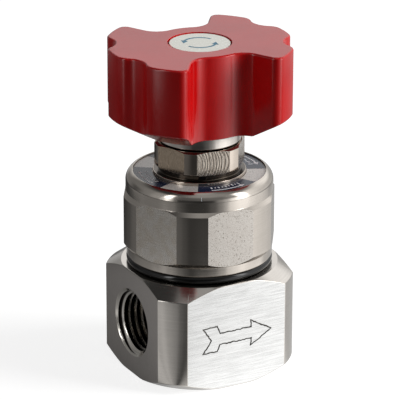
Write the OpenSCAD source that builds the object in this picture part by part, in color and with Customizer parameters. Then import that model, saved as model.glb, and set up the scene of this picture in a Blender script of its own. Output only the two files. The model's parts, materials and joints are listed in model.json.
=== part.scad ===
// Excess flow valve with a hand-turned diaphragm shut-off.
// Millimetres, +Z up, origin on the valve axis at the underside of the body.
// The inlet port faces -X, the outlet port faces +X. The valve is drawn shut.

/* [Body] */
// Width across the flats of the square body
body_w = 31.75; // [31:0.25:36]
// Height of the square body
body_h = 22.65; // [21.5:0.05:26]
// Radius to which the body's upright corners are turned
corner_r = 19.55; // [18:0.05:20.5]
// Radius of the flat ring that the turned chamfers leave at top and bottom
face_r = 16.2; // [15.4:0.05:17]
// Height of the turned chamfers
chamfer_h = 2.2; // [1:0.1:3]
// Radius of the externally threaded boss on top of the body
boss_r = 12.9; // [12.7:0.05:13.2]
// Height of the threaded boss above the body
boss_h = 7.35; // [7:0.05:8]

/* [Ports] */
// Radius of the tapped port bore
port_r = 5.8; // [4.5:0.05:6.2]
// Radius of the countersunk port mouth
port_mouth_r = 7.25; // [6.5:0.05:8]
// Metal left between the end of a port and the diaphragm bowl's outlet hole
port_end_wall = 0.4; // [0.3:0.1:0.6]
// Radius of the hole from the inlet port to the poppet chamber
inlet_r = 1.8; // [1:0.1:2]
// Radius of the hole from the diaphragm bowl down to the outlet port
outlet_r = 1.2; // [0.8:0.1:1.3]

/* [Base fixing] */
// Radius of the two blind tapped holes in the underside
base_hole_r = 2.1; // [1.5:0.1:2.5]
// Depth of the base holes
base_hole_depth = 7; // [4:0.5:9]
// Distance between the base holes, across the flow
base_hole_pitch = 18; // [17:0.5:22]

/* [Body seal ring] */
// Outer radius of the black ring between body and bonnet nut
seal_ring_r = 15.1; // [14.8:0.05:15.4]
// Height of the ring, squeezed between the two flat faces
seal_ring_h = 1.73; // [1.5:0.01:2]
// Radial width of the ring
seal_ring_w = 1.8; // [1.6:0.05:2]

/* [Bonnet nut] */
// Radius of the turned collar at the foot of the nut
collar_r = 15.04; // [14.5:0.05:15.3]
// Height of the turned collar
collar_h = 1.87; // [1.5:0.01:3]
// Height of the cone from the collar out to the nut's corners
nut_lip_h = 1.15; // [0.8:0.05:1.6]
// Radius of the nut's turned corners
nut_r = 15.94; // [15.7:0.02:16.4]
// Width across the nut's flats
nut_af = 30.26; // [29.6:0.02:30.6]
// Height from the collar to the top of the nut's corners
nut_flat_h = 11.35; // [9:0.05:13]
// Height of the cone between the corners and the dome
nut_step_h = 0.8; // [0.5:0.1:2]
// Radius of the dome above the flats
dome_r = 15.2; // [15:0.02:15.5]
// Height of the dome
dome_h = 4.2; // [3.5:0.05:5]
// Radius of the dome's rounded edge
dome_round = 2.3; // [1.6:0.05:2.6]
// Turn of the nut's flats about the axis, in degrees
nut_turn = -4; // [-30:0.5:30]
// How far the retainer stands above the boss, so that the nut clamps it
retainer_proud = 1.2; // [0.8:0.1:2]

/* [Label ring] */
// Outer radius of the printed ring
label_r = 13.66; // [13:0.02:13.7]
// Thickness of the printed ring
label_t = 0.22; // [0.1:0.02:0.3]
// Depth of the recess in the dome for the ring
label_recess = 0.7; // [0.5:0.05:0.9]

/* [Stem housing] */
// Radius of the threaded shank inside the bonnet nut
shank_r = 7.6; // [7.3:0.05:8.2]
// Radius of the polished foot ring
foot_r = 9.59; // [9:0.01:9.9]
// Height of the foot ring
foot_h = 0.8; // [0.5:0.1:1.5]
// Radius of the round neck between foot ring and hexagon
neck_r = 8.35; // [7.8:0.05:8.5]
// Height of the round neck
neck_h = 1.3; // [0.8:0.1:3]
// Width across the flats of the small hexagon
gland_af = 17.44; // [17:0.02:18.2]
// Radius of the small hexagon's turned corners
gland_r = 9.4; // [9.2:0.02:9.8]
// Height of the small hexagon
gland_h = 5; // [4.6:0.1:8]
// Turn of the small hexagon about the axis, in degrees
gland_turn = -10; // [-30:0.5:30]

/* [Stem] */
// Radius of the stem's thread
thread_r = 4; // [3.8:0.05:4.2]
// Rise of the stem for one turn of the knob
thread_pitch = 1; // [0.5:0.05:1.2]
// Turns of the knob from shut to fully open
open_turns = 1; // [0.5:0.25:1.25]
// Radius of the stem's plain shaft
shaft_r = 3.5; // [3.2:0.05:3.6]
// Radius of the stem's drive end inside the knob
drive_r = 3; // [2.8:0.05:3.1]
// Distance from the axis to the flat of the drive end
drive_flat = 2.4; // [2.3:0.05:2.6]
// Thickness of the retaining ring that stops the stem
stop_ring_t = 1; // [0.6:0.1:1.2]
// Outer radius of the retaining ring
stop_ring_r = 5.2; // [4.9:0.1:6]
// Wall of the bronze stem nut outside the thread
stem_nut_wall = 1.55; // [1.2:0.05:1.8]
// Thickness of the stem nut's flange
stem_nut_flange_h = 1; // [0.8:0.1:1.5]
// Section radius of the stem's dust seal
stem_seal_r = 0.72; // [0.6:0.02:0.8]
// Radius of the ball between stem and button
ball_r = 1.5; // [1.2:0.05:1.6]

/* [Knob] */
// Radius of the knob's outer lobes, those beside the finger valleys
knob_r = 19.3; // [19:0.05:20]
// Radius of the middle lobe in each group of three
mid_lobe_r = 19.15; // [18.4:0.05:19.3]
// Height of the knob from its underside to its top
knob_h = 17.6; // [16:0.1:20]
// Radius of the knob's waist at the bottom of the finger valleys
waist_r = 10.3; // [9.8:0.1:11]
// Half the angle that one group of three lobes spans, in degrees
lobe_half = 59.3; // [56:0.1:62]
// Angle from a middle lobe to the notches beside it, in degrees
notch_angle = 22; // [21:0.5:24]
// Radius of the notches between the lobes
notch_r = 4.2; // [3.6:0.1:5]
// Distance from the axis to the bottom of a notch
notch_floor_r = 17.1; // [16.6:0.05:17.4]
// Rounding of the lobes beside a notch
lobe_round = 3; // [2:0.1:3.4]
// Rounding of the lobes beside a finger valley
flank_round = 1.7; // [0.8:0.1:2.4]
// Fillet where a valley's flank meets the waist
waist_fillet = 4; // [1:0.1:5]
// Rounding of the knob's outer top edge
knob_top_round = 0.5; // [0.3:0.1:1.5]
// Radius of the flat part of the knob's underside
under_r = 13; // [11:0.1:15]
// Rise of the underside's cone from there to the rim
rim_rise = 3.6; // [2:0.05:5]
// Turn of the knob's long axis from the flow direction, in degrees
knob_turn = -5; // [-90:1:90]

/* [Knob fixing] */
// Radius of the metal hub's collar under the knob
hub_r = 8.52; // [7.8:0.02:9.2]
// Height of the hub's collar
hub_h = 2.85; // [2:0.05:4]
// Gap between the hub and the stem housing when the valve is shut
shut_gap = 0.15; // [0.1:0.05:0.6]
// Width across the flats of the hub's boss inside the knob
hub_boss_af = 11; // [10:0.1:12.5]
// Height of that boss
hub_boss_h = 8; // [6:0.1:8.5]
// Thickness of the knob's floor that the screw clamps
web_t = 1.6; // [1.2:0.1:2]
// Radius of the knob screw's shank
screw_r = 1.95; // [1.7:0.05:2]
// Radius of the knob screw's head
screw_head_r = 3.5; // [3.2:0.1:4]
// Height of the knob screw's head
screw_head_h = 2.5; // [2:0.1:2.6]
// Thickness of the lock washer
washer_t = 0.8; // [0.5:0.1:1]
// Radius of the round insert in the knob's top
disc_r = 6.26; // [5.8:0.02:7]
// Thickness of the round insert
disc_t = 1.2; // [0.8:0.1:1.5]
// How far the insert lies below the knob's top
disc_drop = 0.35; // [0.1:0.05:0.6]
// Width of the groove around the insert
disc_groove = 0.24; // [0.1:0.02:0.5]

/* [Diaphragms] */
// Width of the diaphragm rim that is clamped
clamp_w = 1.9; // [1.5:0.1:2.2]
// Wall of the boss around the diaphragms
boss_wall = 2.9; // [2.7:0.05:3.2]
// Depth of the boss's pocket, down to the ledge that carries the diaphragms
pocket_depth = 4.8; // [4.4:0.1:5.2]
// Depth of the bowl under the diaphragms
bowl_depth = 1.6; // [1.2:0.1:1.8]
// Thickness of one diaphragm leaf
leaf_t = 0.2; // [0.1:0.02:0.3]
// How far the middle of the diaphragms dips when the valve is shut
leaf_dip = 0.6; // [0.4:0.05:0.8]
// Radius of the button's foot that presses on the diaphragms
button_foot_r = 4.2; // [3.8:0.1:4.6]
// Height of the button's foot
button_foot_h = 1.4; // [1:0.1:1.6]
// Radius of the button's shank
button_r = 3; // [2.6:0.1:3.4]

/* [Excess flow poppet] */
// Radius of the hole through the valve seat
orifice_r = 1.9; // [1.5:0.1:2.1]
// Travel of the poppet from open until it closes the seat from below
poppet_travel = 1.55; // [1:0.05:1.8]
// Radial gap around the poppet's head, which sets the flow that trips it
trip_gap = 0.3; // [0.2:0.05:0.4]
// Height of the poppet's head
head_h = 2.4; // [1.6:0.1:3]
// Radius of the poppet's tail
tail_r = 1; // [0.8:0.05:1.2]
// Height of the valve seat ring
seat_h = 3; // [2.6:0.1:3.2]
// Width of the ledge that carries the valve seat
seat_ledge = 1.2; // [0.8:0.1:1.3]
// Thickness of the body's floor under the poppet chamber
floor_t = 5; // [4:0.1:6]
// Wire radius of the poppet spring
wire_r = 0.3; // [0.2:0.02:0.32]
// Working coils of the poppet spring
spring_coils = 3; // [2:1:4]

/* [Hidden] */
$fn = 96;
fit = 0.05;          // radial clearance of a running or screwed fit
snug = 0.02;         // radial clearance of a pressed or seated fit
cut = 1;             // how far a cutting tool runs past a face
lap = 0.01;          // how far a rounding runs past the curve that it joins
run_in = 0.1;        // how far the milled flats run into the turned cones

// Heights of the body
port_z = body_h / 2;
boss_z = body_h + boss_h;
ledge_z = boss_z - pocket_depth;
bowl_z = ledge_z - bowl_depth;
seat_top_z = ledge_z - leaf_dip;
seat_foot_z = seat_top_z - seat_h;

// Radii of the body's inside, from the boss inwards
pocket_r = boss_r - boss_wall;
leaf_r = pocket_r - 2 * fit;
bowl_r = leaf_r - clamp_w;
outlet_x = bowl_r - outlet_r - 4 * fit;
port_end_x = outlet_x - outlet_r - port_end_wall;

// Excess flow poppet, from the orifice outwards
nose_r = orifice_r + 0.3;
spring_gap = 0.25;
coil_r = nose_r + spring_gap + wire_r;
chamber_r = coil_r + wire_r + spring_gap + 2 * fit;
head_r = chamber_r - trip_gap;
seat_r = chamber_r + seat_ledge;
guide_z = port_z - inlet_r - 0.3;
head_z = port_z + inlet_r + 1.5;
head_top_z = head_z + head_h;
cone_slope = 0.5;
touch_z = seat_foot_z - poppet_travel - fit;
cone_z = touch_z - (nose_r - orifice_r) / cone_slope;
seal_top_z = touch_z + 0.7;
tip_z = touch_z + 1.4;
tail_foot_z = floor_t + 0.6;
collar_gap = fit;

// Nut and label
nut_z = body_h + seal_ring_h;
flat_z = nut_z + collar_h;
lip_z = flat_z + nut_lip_h;
flat_top_z = flat_z + nut_flat_h;
dome_z = flat_top_z + nut_step_h;
dome_top_z = dome_z + dome_h;
deck_z = dome_top_z - label_recess;
shoulder_z = boss_z + retainer_proud;

// Pusher and stem
lift = thread_pitch * open_turns;
leaf_top_z = ledge_z + 2 * leaf_t;
button_z = seat_top_z + 2 * leaf_t;
foot_top_z = button_z + button_foot_h;
recess_z = foot_top_z + lift + 0.3;
button_top_z = shoulder_z + 0.4;
ball_z = button_top_z + 0.4 * ball_r;
stem_z = ball_z + 0.4 * ball_r;
groove_z = stem_z + 0.6;
thread_z = groove_z + stop_ring_t;
stem_nut_z = thread_z + lift + fit;
shank_z = stem_nut_z + stem_nut_flange_h;
neck_z = deck_z + foot_h;
gland_z = neck_z + neck_h;
gland_top_z = gland_z + gland_h;
gland_chamfer = (gland_r - gland_af / 2) * 0.4;
stem_nut_r = thread_r + fit + stem_nut_wall;
stem_nut_top_z = gland_z - 1;
thread_top_z = stem_nut_top_z - lift - 0.3;
stem_seal_z = gland_z + 0.4 * gland_h;
groove_r = thread_r * 0.65;

// Knob
hub_z = gland_top_z + shut_gap;
knob_z = hub_z + hub_h;
knob_top_z = knob_z + knob_h;
web_z = knob_z + hub_boss_h;
washer_z = web_z + web_t;
screw_head_z = washer_z + washer_t;
drive_top_z = web_z - 0.2;
disc_top_z = knob_top_z - disc_drop;
disc_z = disc_top_z - disc_t;
washer_r = screw_head_r + 0.4;
counterbore_r = washer_r + 1.1;

// General shapes

// Point at a radius and an angle about the axis
function polar(r, angle) = [r * cos(angle), r * sin(angle)];

// Round bar on the axis from one height to another
module rod(r, from, to) {
    translate([0, 0, from]) cylinder(r = r, h = to - from);
}

// Ring on the axis from one height to another
module ring(r_out, r_in, from, to) {
    difference() {
        rod(r_out, from, to);
        rod(r_in, from - cut, to + cut);
    }
}

// Cone on the axis from one radius and height to another
module taper(r_from, r_to, from, to) {
    translate([0, 0, from]) cylinder(r1 = r_from, r2 = r_to, h = to - from);
}

// Hexagonal bar, measured across its flats
module hex_bar(across, from, to) {
    translate([0, 0, from]) cylinder(r = across / 2 / cos(30), h = to - from, $fn = 6);
}

// Round-section ring on the axis, cut flat above and below
module seal_torus(mid_r, section_r, mid_z, flat_h) {
    rotate_extrude() intersection() {
        translate([mid_r, mid_z]) circle(r = section_r);
        translate([mid_r - 2 * section_r, mid_z - flat_h / 2]) square([4 * section_r, flat_h]);
    }
}

// The outer corner of a turned profile that a rounding takes away
module corner_cut(r, z, round_r) {
    translate([r - round_r, z - round_r]) difference() {
        square(round_r + cut);
        circle(r = round_r);
    }
}

// Body

module body_block() {
    intersection() {
        translate([-body_w / 2, -body_w / 2, 0]) cube([body_w, body_w, body_h]);
        rotate_extrude() polygon([[0, 0], [face_r, 0], [corner_r, chamfer_h],
            [corner_r, body_h - chamfer_h], [face_r, body_h], [0, body_h]]);
    }
}

// Port bore with its countersunk mouth, cut along +X
module port_cut() {
    mouth_depth = port_mouth_r - port_r;
    translate([0, 0, port_z]) rotate([0, 90, 0]) {
        rod(port_r, port_end_x, body_w / 2 + cut);
        taper(port_r, port_mouth_r + cut, body_w / 2 - mouth_depth, body_w / 2 + cut);
    }
}

module body() {
    color([0.72, 0.71, 0.69]) difference() {
        union() {
            body_block();
            rod(boss_r, body_h / 2, boss_z);
        }
        rod(pocket_r, ledge_z, boss_z + cut);
        rod(bowl_r, bowl_z, boss_z);
        rod(seat_r + snug, seat_foot_z, boss_z);
        rod(chamber_r, floor_t, boss_z);
        port_cut();
        mirror([1, 0, 0]) port_cut();
        translate([-port_end_x - cut, 0, port_z]) rotate([0, 90, 0]) cylinder(r = inlet_r, h = port_end_x);
        translate([outlet_x, 0, 0]) rod(outlet_r, port_z, bowl_z + cut / 2);
        for (side = [-1, 1]) translate([0, side * base_hole_pitch / 2, 0])
            rod(base_hole_r, -cut, base_hole_depth);
    }
}

module body_seal_ring() {
    section_r = seal_ring_w / 2;
    color([0.05, 0.05, 0.05])
        seal_torus(seal_ring_r - section_r, section_r, body_h + seal_ring_h / 2, seal_ring_h);
}

// Bonnet nut, label and stem housing

// The nut as it is turned, before its flats are milled
module nut_blank() {
    rotate_extrude() difference() {
        polygon([[0, nut_z], [collar_r, nut_z], [collar_r, flat_z], [nut_r, lip_z],
            [nut_r, flat_top_z], [dome_r, dome_z], [dome_r, dome_top_z], [0, dome_top_z]]);
        corner_cut(dome_r, dome_top_z, dome_round);
    }
}

module bonnet_nut() {
    mill_z = flat_z + run_in;
    mill_h = dome_z - run_in - mill_z;
    color([0.66, 0.65, 0.62]) difference() {
        nut_blank();
        for (side = [0 : 5]) rotate(nut_turn + 30 + 60 * side)
            translate([nut_af / 2, -nut_r, mill_z]) cube([nut_r, 2 * nut_r, mill_h]);
        rod(boss_r + fit, nut_z - cut, shoulder_z);
        rod(shank_r + fit, shoulder_z - cut, dome_top_z + cut);
        rod(label_r + fit, deck_z, dome_top_z + cut);
    }
}

module label_ring() {
    color([0.14, 0.19, 0.3]) ring(label_r, foot_r + fit, deck_z, deck_z + label_t);
}

module stem_housing() {
    color([0.6, 0.58, 0.55]) difference() {
        union() {
            rod(shank_r, shank_z, deck_z);
            rod(foot_r, deck_z, neck_z);
            rod(neck_r, neck_z, gland_z + gland_h / 2);
            intersection() {
                rotate(gland_turn) hex_bar(gland_af, gland_z, gland_top_z);
                union() {
                    taper(gland_r - gland_chamfer, gland_r, gland_z, gland_z + gland_chamfer);
                    rod(gland_r, gland_z + gland_chamfer, gland_top_z - gland_chamfer);
                    taper(gland_r, gland_af / 2, gland_top_z - gland_chamfer, gland_top_z);
                }
            }
        }
        rod(stem_nut_r + snug, shank_z - cut, stem_nut_top_z);
        rod(shaft_r + fit, shank_z, gland_top_z + cut);
        rod(shaft_r + fit + 2 * stem_seal_r, stem_seal_z - stem_seal_r - fit,
            stem_seal_z + stem_seal_r + fit);
    }
}

module stem_nut() {
    color([0.72, 0.5, 0.28]) difference() {
        union() {
            rod(stem_nut_r + 1, stem_nut_z, shank_z);
            rod(stem_nut_r, shank_z, stem_nut_top_z);
        }
        rod(thread_r + fit, stem_nut_z - cut, stem_nut_top_z + cut);
    }
}

module stem_o_ring() {
    color([0.06, 0.06, 0.06])
        seal_torus(shaft_r + fit + stem_seal_r, stem_seal_r - snug, stem_seal_z, 3 * stem_seal_r);
}

// Diaphragms and seat

module diaphragm_retainer() {
    color([0.6, 0.6, 0.6]) difference() {
        rod(pocket_r - fit, leaf_top_z, shoulder_z);
        rod(bowl_r - 4 * fit, leaf_top_z - cut, recess_z);
        rod(button_r + fit, recess_z - cut, shoulder_z + cut);
    }
}

// One leaf: a clamped rim, a cone and a flat middle that the button presses down
module leaf(level) {
    rim_z = ledge_z + level * leaf_t;
    mid_z = rim_z - leaf_dip;
    land_r = button_foot_r + 0.2;
    bend_r = bowl_r - 6 * fit;
    rotate_extrude() polygon([[0, mid_z], [land_r, mid_z], [bend_r, rim_z], [leaf_r, rim_z],
        [leaf_r, rim_z + leaf_t], [bend_r, rim_z + leaf_t], [land_r, mid_z + leaf_t],
        [0, mid_z + leaf_t]]);
}

module diaphragm_upper() {
    color([0.75, 0.72, 0.6]) leaf(1);
}

module diaphragm_lower() {
    color([0.7, 0.68, 0.56]) leaf(0);
}

module valve_seat() {
    lip_w = 1;
    shoulder_drop = 0.5;
    color([0.92, 0.92, 0.88]) rotate_extrude() polygon([[orifice_r, seat_foot_z],
        [seat_r, seat_foot_z], [seat_r, seat_top_z - shoulder_drop],
        [orifice_r + lip_w + shoulder_drop, seat_top_z - shoulder_drop],
        [orifice_r + lip_w, seat_top_z], [orifice_r, seat_top_z]]);
}

// Excess flow poppet

module poppet_guide() {
    color([0.62, 0.62, 0.6]) ring(chamber_r - snug, tail_r + fit, floor_t, guide_z);
}

// Height of the spring wire's centre after a number of turns, with a closed coil at each end
function wire_rise(turns, total, closed, open) =
    closed * min(turns, 1) + open * max(0, min(turns - 1, total - 2)) + closed * max(0, turns - total + 1);

module poppet_spring() {
    sides = 8;
    steps = 20;
    total = spring_coils + 2;
    low_z = head_top_z + wire_r + snug;
    high_z = seat_foot_z - wire_r - snug;
    closed = 2 * wire_r + snug;
    open = (high_z - low_z - 2 * closed) / spring_coils;
    count = total * steps;
    rings = [for (i = [0 : count]) let (turn = 360 * i / steps) [for (k = [0 : sides - 1])
        let (a = 360 * (k + 0.5) / sides, r = coil_r + wire_r * cos(a))
        [r * cos(turn), r * sin(turn), low_z + wire_rise(i / steps, total, closed, open) + wire_r * sin(a)]]];
    points = [for (r = rings) each r];
    walls = [for (i = [0 : count - 1], k = [0 : sides - 1]) let (n = (k + 1) % sides)
        [i * sides + k, i * sides + n, (i + 1) * sides + n, (i + 1) * sides + k]];
    start_cap = [for (k = [sides - 1 : -1 : 0]) k];
    end_cap = [for (k = [0 : sides - 1]) count * sides + k];
    color([0.75, 0.75, 0.75]) polyhedron(points = points, faces = concat([start_cap, end_cap], walls));
}

// Radius of the poppet's closing cone at a height
function cone_r(z) = orifice_r - (z - touch_z) * cone_slope;

module excess_flow_poppet() {
    stalk_r = tail_r + 0.5;
    core_r = cone_r(tip_z) - 0.2;
    color([0.68, 0.68, 0.66]) {
        rod(tail_r, tail_foot_z, guide_z + collar_gap);
        rod(stalk_r, guide_z + collar_gap, head_z);
        rod(head_r, head_z, head_top_z);
        rod(nose_r, head_top_z, cone_z);
        rod(core_r, cone_z, seal_top_z);
        taper(cone_r(seal_top_z), cone_r(tip_z), seal_top_z, tip_z);
    }
}

module poppet_seal() {
    core_r = cone_r(tip_z) - 0.2;
    color([0.12, 0.12, 0.12]) difference() {
        taper(nose_r, cone_r(seal_top_z), cone_z, seal_top_z);
        rod(core_r, cone_z - cut, seal_top_z + cut);
    }
}

// Pusher

module button() {
    color([0.7, 0.7, 0.68]) difference() {
        union() {
            rod(button_foot_r, button_z, foot_top_z);
            rod(button_r, foot_top_z, button_top_z);
        }
        translate([0, 0, ball_z]) sphere(r = ball_r + snug);
    }
}

module thrust_ball() {
    color([0.8, 0.8, 0.8]) translate([0, 0, ball_z]) sphere(r = ball_r);
}

// Stem

// Cuts the flat of the drive end on the +X side, from one height to another
module drive_cut(flat, from, to) {
    translate([flat, -drive_r - cut, from]) cube([drive_r, 2 * (drive_r + cut), to - from]);
}

module stem() {
    color([0.7, 0.69, 0.66]) difference() {
        union() {
            rod(groove_r + 0.6, stem_z, groove_z);
            rod(groove_r, groove_z, thread_z);
            rod(thread_r, thread_z, thread_top_z);
            rod(shaft_r, thread_top_z, hub_z);
            rod(drive_r, hub_z, drive_top_z);
        }
        rod(ball_r + 0.2, stem_z - cut, ball_z + ball_r + fit);
        rod(screw_r + fit, knob_z, drive_top_z + cut);
        drive_cut(drive_flat, hub_z, drive_top_z + cut);
    }
}

module stem_stop_ring() {
    color([0.45, 0.45, 0.45]) difference() {
        ring(stop_ring_r, groove_r + fit, groove_z, thread_z);
        translate([0, -0.8 * groove_r, groove_z - cut])
            cube([stop_ring_r + cut, 1.6 * groove_r, stop_ring_t + 2 * cut]);
    }
}

// Knob

module knob_hub() {
    edge = 0.3;
    color([0.75, 0.73, 0.7]) difference() {
        union() {
            taper(hub_r - edge, hub_r, hub_z, hub_z + edge);
            rod(hub_r, hub_z + edge, knob_z);
            rotate(knob_turn) hex_bar(hub_boss_af, hub_z + hub_h / 2, web_z);
        }
        difference() {
            rod(drive_r + snug, hub_z - cut, web_z + cut);
            drive_cut(drive_flat + snug, hub_z - 2 * cut, web_z + 2 * cut);
        }
    }
}

// Angle at the axis between a notch's middle and the centre of the rounding beside it
function round_angle(centre_r, notch_dist, reach) =
    acos((centre_r ^ 2 + notch_dist ^ 2 - reach ^ 2) / (2 * centre_r * notch_dist));

// The rounded corner between a notch and the lobe on one side of it, as the shape that is taken away
module lobe_corner_cut(lobe_r, side) {
    notch_dist = notch_floor_r + notch_r;
    far = knob_r + notch_r;
    centre_r = lobe_r - lobe_round + lap;
    swing = side * round_angle(centre_r, notch_dist, notch_r + lobe_round - lap);
    difference() {
        polygon([polar(centre_r, swing), polar(far, swing), [far, 0], [notch_dist, 0]]);
        translate(polar(centre_r, swing)) circle(r = lobe_round);
    }
}

// The notch above the middle lobe with both its corners rounded
module notch_cut() {
    rotate(notch_angle) {
        translate([notch_floor_r + notch_r, 0]) circle(r = notch_r);
        lobe_corner_cut(knob_r, 1);
        lobe_corner_cut(mid_lobe_r, -1);
    }
}

// What stands out of the middle lobe's rim, between the two notches
module mid_lobe_cut() {
    far = 2 * knob_r;
    difference() {
        polygon([[0, 0], polar(far, -notch_angle), polar(far, notch_angle)]);
        circle(r = mid_lobe_r);
    }
}

// The rounded corner between a valley's flank and the rim, as the shape that is taken away
module flank_cut() {
    far = knob_r + flank_round;
    centre_r = knob_r - flank_round + lap;
    at = lobe_half - asin((flank_round - lap) / centre_r);
    foot_r = sqrt(centre_r ^ 2 - flank_round ^ 2);
    past = lobe_half + 1;
    difference() {
        polygon([polar(centre_r, at), polar(far, at), polar(far, past), polar(foot_r, past)]);
        translate(polar(centre_r, at)) circle(r = flank_round);
    }
}

// The fillet between a valley's flank and the waist, as the shape that is added
module waist_fill() {
    centre_r = waist_r + waist_fillet - lap;
    at = lobe_half + asin((waist_fillet - lap) / centre_r);
    foot_r = sqrt(centre_r ^ 2 - waist_fillet ^ 2);
    difference() {
        polygon([polar(waist_r - 1, at), polar(centre_r, at), polar(foot_r, lobe_half - 1),
            polar(waist_r - 1, lobe_half - 4)]);
        translate(polar(centre_r, at)) circle(r = waist_fillet);
    }
}

// One finger valley on the +Y side, as the shape that is taken away
module valley_cut() {
    far = 2 * knob_r;
    difference() {
        polygon([[0, 0], polar(far, lobe_half), polar(far * 1.5, 90), polar(far, 180 - lobe_half)]);
        circle(r = waist_r);
        waist_fill();
        mirror([1, 0]) waist_fill();
    }
}

// The knob from above, long axis along X
module knob_outline() {
    difference() {
        circle(r = knob_r);
        for (turn = [0, 180]) rotate(turn) {
            valley_cut();
            mid_lobe_cut();
            for (side = [0, 1]) mirror([0, side]) {
                notch_cut();
                flank_cut();
            }
        }
    }
}

// The knob from the side: flat underside, rising cone, rounded top edge
module knob_envelope() {
    rotate_extrude() difference() {
        polygon([[0, knob_z], [under_r, knob_z], [knob_r, knob_z + rim_rise], [knob_r, knob_top_z],
            [0, knob_top_z]]);
        corner_cut(knob_r, knob_top_z, knob_top_round);
    }
}

module knob() {
    color([0.7, 0.06, 0.07]) difference() {
        rotate(knob_turn) intersection() {
            translate([0, 0, knob_z]) linear_extrude(knob_h) knob_outline();
            knob_envelope();
        }
        rotate(knob_turn) hex_bar(hub_boss_af + 2 * snug, knob_z - cut, web_z);
        rod(screw_r + 0.3, web_z - cut, washer_z + cut);
        rod(counterbore_r, washer_z, knob_top_z + cut);
        rod(disc_r + disc_groove, disc_z, knob_top_z + cut);
    }
}

module lock_washer() {
    slot = 0.8;
    color([0.6, 0.6, 0.6]) difference() {
        ring(washer_r, screw_r + 0.25, washer_z, screw_head_z);
        translate([0, -slot / 2, washer_z - cut]) cube([washer_r + cut, slot, washer_t + 2 * cut]);
    }
}

module knob_screw() {
    socket_af = 3;
    color([0.35, 0.35, 0.36]) difference() {
        union() {
            rod(screw_r, knob_z + 0.6, screw_head_z);
            rod(screw_head_r, screw_head_z, screw_head_z + screw_head_h);
        }
        hex_bar(socket_af, screw_head_z + 0.4 * screw_head_h, screw_head_z + screw_head_h + cut);
    }
}

module knob_disc() {
    color([0.86, 0.87, 0.84]) rod(disc_r, disc_z, disc_top_z);
}

body();
body_seal_ring();
bonnet_nut();
label_ring();
stem_housing();
stem_nut();
stem_o_ring();
diaphragm_retainer();
diaphragm_upper();
diaphragm_lower();
valve_seat();
poppet_guide();
poppet_spring();
excess_flow_poppet();
poppet_seal();
button();
thrust_ball();
stem();
stem_stop_ring();
knob_hub();
knob();
lock_washer();
knob_screw();
knob_disc();
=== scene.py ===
"""Visual model of a small gas valve with a lobed hand knob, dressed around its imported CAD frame."""
import json
import math
import random

import bmesh
import bpy
from mathutils import Matrix, Vector
from mathutils.geometry import delaunay_2d_cdt


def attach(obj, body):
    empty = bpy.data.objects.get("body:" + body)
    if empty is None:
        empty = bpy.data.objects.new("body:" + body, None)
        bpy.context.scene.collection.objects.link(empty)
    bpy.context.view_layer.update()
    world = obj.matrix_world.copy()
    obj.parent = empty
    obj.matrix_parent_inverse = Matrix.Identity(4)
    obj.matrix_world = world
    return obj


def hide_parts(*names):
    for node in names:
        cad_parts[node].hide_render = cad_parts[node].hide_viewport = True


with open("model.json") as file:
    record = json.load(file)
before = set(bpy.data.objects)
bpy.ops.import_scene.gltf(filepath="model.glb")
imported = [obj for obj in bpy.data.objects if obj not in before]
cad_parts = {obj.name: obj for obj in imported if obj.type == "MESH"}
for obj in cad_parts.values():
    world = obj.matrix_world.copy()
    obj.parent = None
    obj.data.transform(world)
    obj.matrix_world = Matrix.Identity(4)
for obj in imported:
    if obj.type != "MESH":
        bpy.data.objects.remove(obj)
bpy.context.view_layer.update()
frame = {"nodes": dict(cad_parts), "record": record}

MM = 0.001                      # the sizes below are millimetres, as in the CAD source

# Body
BODY_HALF, BODY_H, CORNER_R, FACE_R, CHAMFER_H = 15.875, 22.65, 19.55, 16.2, 2.2
BOSS_R, BOSS_TOP, POCKET_R, LEDGE_Z, BOWL_R, BOWL_Z = 12.9, 30.0, 10.0, 25.2, 8.0, 23.6
SEAT_R, SEAT_Z, CHAMBER_R, FLOOR_Z = 4.62, 21.6, 3.4, 5.0
PORT_MOUTH_R, PORT_Z, PORT_END, THREAD_CREST, THREAD_ROOT = 7.25, 11.325, 5.0, 6.02, 6.92
INLET_HOLE_R, OUTLET_HOLE_R, OUTLET_HOLE_X, BASE_HOLE_Y = 1.8, 1.2, 6.6, 9.0
SEAL_MID_R, SEAL_SECTION_R, SEAL_HALF = 14.2, 0.9, 0.865
# Bonnet nut
NUT_Z, COLLAR_R, FLAT_Z, LIP_Z, NUT_R, NUT_HALF, FLAT_TOP = 24.38, 15.04, 26.25, 27.4, 15.94, 15.13, 37.6
DOME_R, DOME_Z, DOME_TOP, DOME_ROUND, DECK_Z, NUT_TURN, RUN_IN = 15.2, 38.4, 42.6, 2.3, 41.9, -4.0, 0.1
NUT_BORE_R, NUT_SHOULDER_Z, FIT_GAP = 7.65, 31.2, 0.05
LABEL_R, LABEL_IN, LABEL_TOP = 13.66, 9.64, 42.12
BLUE_MIDS, BLUE_HALF, BLUE_EDGE = (5.0, 83.5, 174.0, 269.8), 30.0, 0.06
ARROW_MID_R, TICK_MID_R, TICK_STEP, TICK_HALF = 12.35, 11.05, 4.0, 0.8
PRINT_LOW, PRINT_HIGH = -0.01, 0.015
# Stem housing
FOOT_R, FOOT_TOP, NECK_R, NECK_TOP, GLAND_HALF, GLAND_R, GLAND_TOP, GLAND_TURN = \
    9.59, 42.7, 8.35, 44.0, 8.72, 9.4, 49.0, -10.0
SLEEVE_R, SLEEVE_Z, STEM_BORE_R, BUSH_R, BUSH_TOP, RING_ROOM_R, RING_ROOM_Z, RING_ROOM_TOP = \
    7.6, 36.45, 3.55, 5.62, 43.0, 4.99, 45.23, 46.77
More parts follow.
